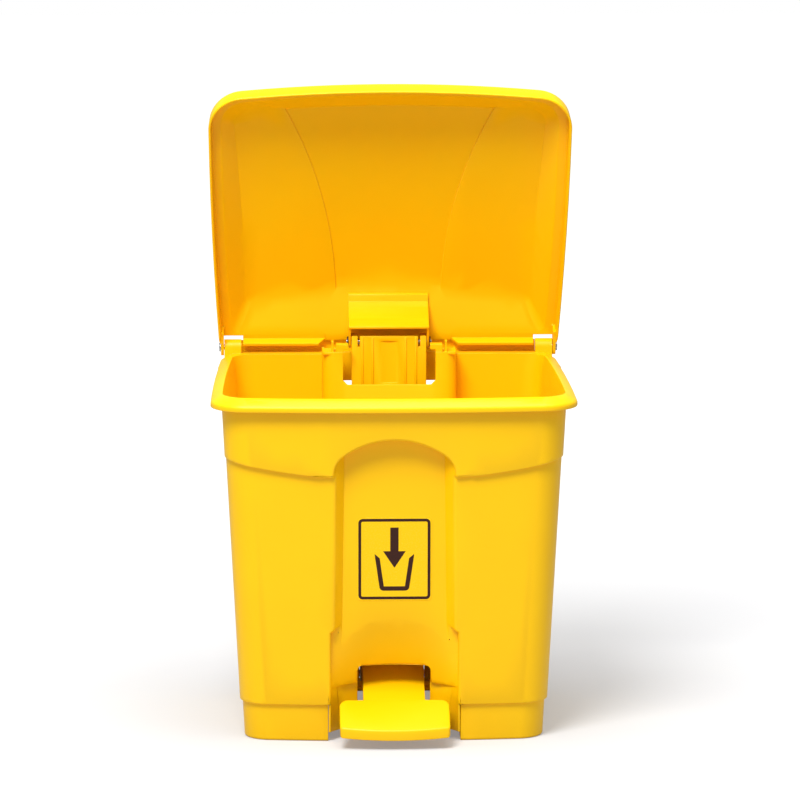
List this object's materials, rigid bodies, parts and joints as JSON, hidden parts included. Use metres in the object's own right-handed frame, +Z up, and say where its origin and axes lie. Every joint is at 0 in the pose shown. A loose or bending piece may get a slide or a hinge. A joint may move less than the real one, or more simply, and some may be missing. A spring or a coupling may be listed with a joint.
{
  "type": "pedal bin",
  "caption": "Yellow plastic pedal bin with a hinged lid on a tapered body; a pedal lever in the base lifts the lid through a push rod at the back.",
  "frame": {"origin": "on the floor under the middle of the body, between the feet", "axes": "+Z up; -Y towards the user and the pedal; +X to the right as the user faces the bin"},
  "size_m": [0.4086, 0.36, 0.7117],
  "materials": {
    "yellow_moulding": "moulded polypropylene, satin",
    "printed_label": "printed vinyl label, semi-gloss",
    "steel_pin": "turned zinc-plated steel",
    "spring_steel_clip": "pressed spring steel",
    "zinc_screw": "zinc-plated steel",
    "nylon_bush": "natural nylon"
  },
  "bodies": {
    "bin": {"body_shell": "yellow_moulding", "label": "printed_label", "keeper_strap_lower": "yellow_moulding", "keeper_strap_upper": "yellow_moulding", "strap_screws_lower": "zinc_screw", "strap_screws_upper": "zinc_screw", "hinge_pin_left": "steel_pin", "hinge_pin_right": "steel_pin", "pedal_axle": "steel_pin", "axle_clip_left": "spring_steel_clip", "axle_clip_right": "spring_steel_clip"},
    "lid": {"lid_shell": "yellow_moulding", "lift_bracket": "yellow_moulding", "lift_bracket_screws": "zinc_screw", "link_pin": "steel_pin", "link_pin_clip_left": "spring_steel_clip", "link_pin_clip_right": "spring_steel_clip"},
    "rod": {"push_rod": "yellow_moulding", "rod_pin": "steel_pin", "rod_pin_clip_left": "spring_steel_clip", "rod_pin_clip_right": "spring_steel_clip"},
    "pedal": {"pedal_lever": "yellow_moulding", "axle_bush_left": "nylon_bush", "axle_bush_right": "nylon_bush"}
  },
  "joints": [
    {"name": "lid_hinge", "type": "hinge", "parent": "bin", "child": "lid", "pos_m": [0, 0.152, 0.396], "axis": [1, 0, 0], "range_deg": [0, 70]},
    {"name": "rod_slide", "type": "slide", "parent": "bin", "child": "rod", "axis": [0, 0, 1], "range_m": [-0.03137, 0.0002]},
    {"name": "pedal_pivot", "type": "hinge", "parent": "bin", "child": "pedal", "pos_m": [0, -0.015, 0.05], "axis": [1, 0, 0], "range_deg": [-12.7, 0.1]}
  ],
  "couplings": [
    {"joint": "rod_slide", "follows": "lid_hinge", "m_per_rad": -0.02551},
    {"joint": "pedal_pivot", "follows": "lid_hinge", "ratio": -0.18001}
  ]
}
